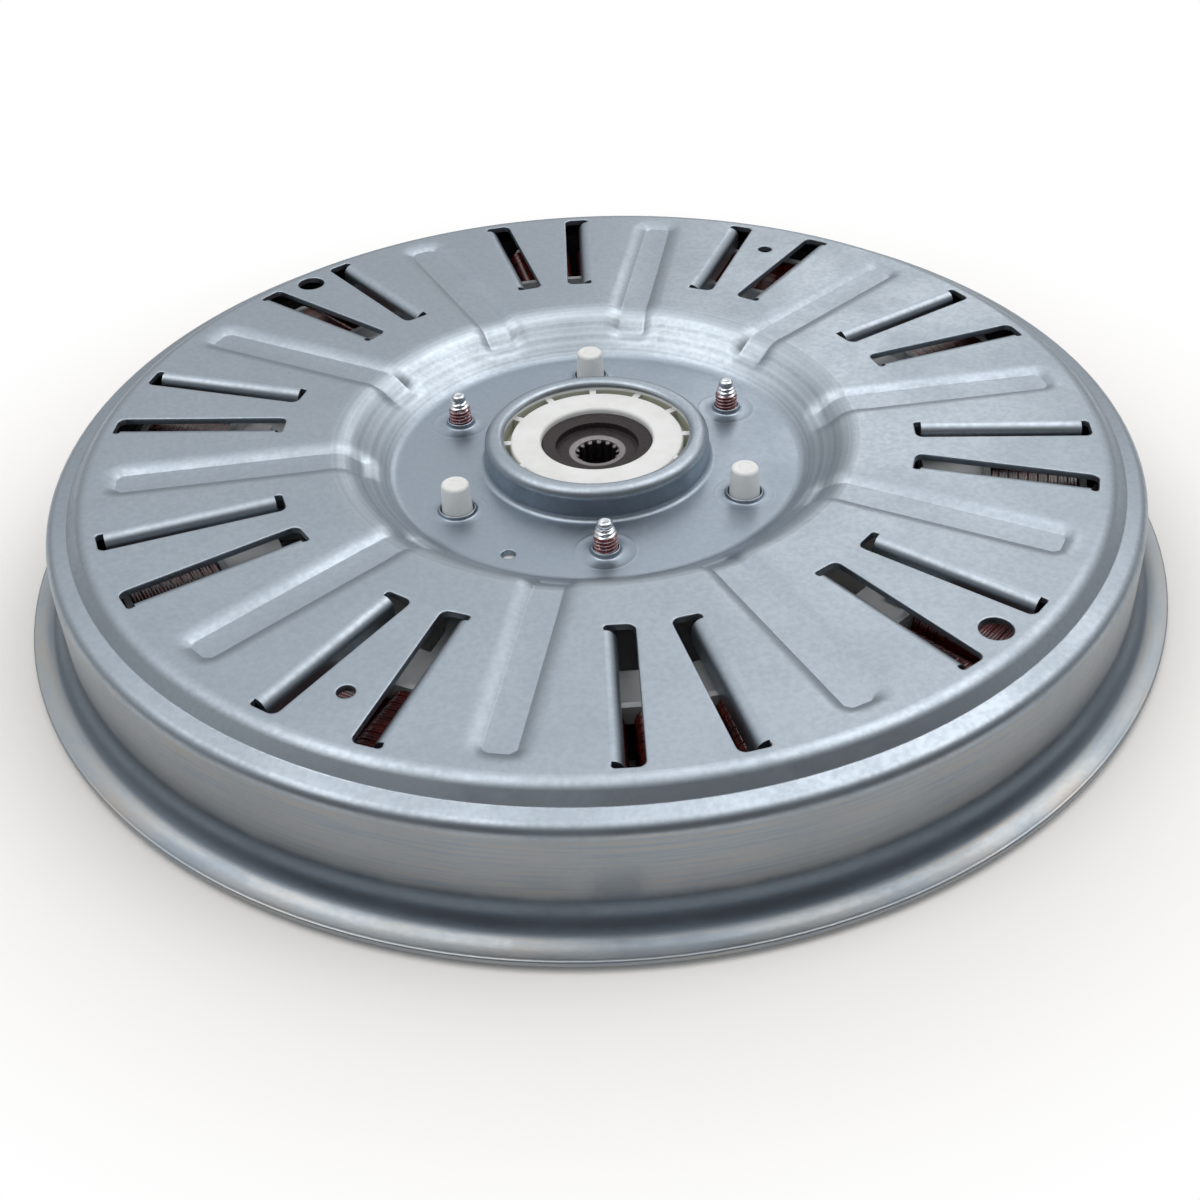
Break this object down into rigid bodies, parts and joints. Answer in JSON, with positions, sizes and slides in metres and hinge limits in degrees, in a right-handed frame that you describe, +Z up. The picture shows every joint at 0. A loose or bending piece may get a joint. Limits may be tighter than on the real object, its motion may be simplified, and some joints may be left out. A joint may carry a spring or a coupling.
{
  "type": "direct-drive washing machine motor",
  "caption": "Direct-drive washing machine motor: a pressed steel rotor cup with vent slots and magnets, open side down over a wound stator ring.",
  "frame": {"origin": "on the shaft's axis, in the plane that the six mounting bosses stand on", "axes": "+Z up along the drum shaft, out of the rotor's closed side; -Y towards the viewer, midway between two vent slots of a pair"},
  "size_m": [0.2932, 0.2932, 0.0345],
  "materials": {
    "galvanised_steel": "galvanised, satin",
    "white_polyamide": "moulded, semi-matt",
    "sintered_steel": "sintered, oiled",
    "zinc_plated_steel": "zinc plated",
    "electrical_steel": "stacked laminations",
    "rivet_steel": "plain",
    "insulator_plastic": "moulded, matt",
    "tinned_brass": "tinned",
    "black_plastic": "moulded, matt",
    "circuit_board": "solder mask",
    "ferrite": "sintered, matt",
    "enamelled_copper": "dark red enamel"
  },
  "bodies": {
    "stator": {"stator_core": "electrical_steel", "core_rivets": "rivet_steel", "upper_insulator": "insulator_plastic", "lower_insulator": "insulator_plastic", "upper_bosses": "insulator_plastic", "lower_bosses": "insulator_plastic", "socket_housing": "insulator_plastic", "mounting_sleeves": "zinc_plated_steel", "power_terminals": "tinned_brass", "sensor_holder": "black_plastic", "sensor_board": "circuit_board", "hall_sensors": "black_plastic", "sensor_pins": "tinned_brass", "sensor_screws": "zinc_plated_steel", "winding_phase_1": "enamelled_copper", "winding_phase_2": "enamelled_copper", "winding_phase_3": "enamelled_copper"},
    "rotor": {"rotor_cup": "galvanised_steel", "hub_bushing": "white_polyamide", "splined_insert": "sintered_steel", "hub_bolts": "zinc_plated_steel", "magnet_01": "ferrite", "magnet_02": "ferrite", "magnet_03": "ferrite", "magnet_04": "ferrite", "magnet_05": "ferrite", "magnet_06": "ferrite", "magnet_07": "ferrite", "magnet_08": "ferrite", "magnet_09": "ferrite", "magnet_10": "ferrite", "magnet_11": "ferrite", "magnet_12": "ferrite"}
  },
  "joints": [
    {"name": "rotor_spin", "type": "hinge", "parent": "stator", "child": "rotor", "pos_m": [0, 0, 0.02], "axis": [0, 0, 1], "continuous": true}
  ]
}
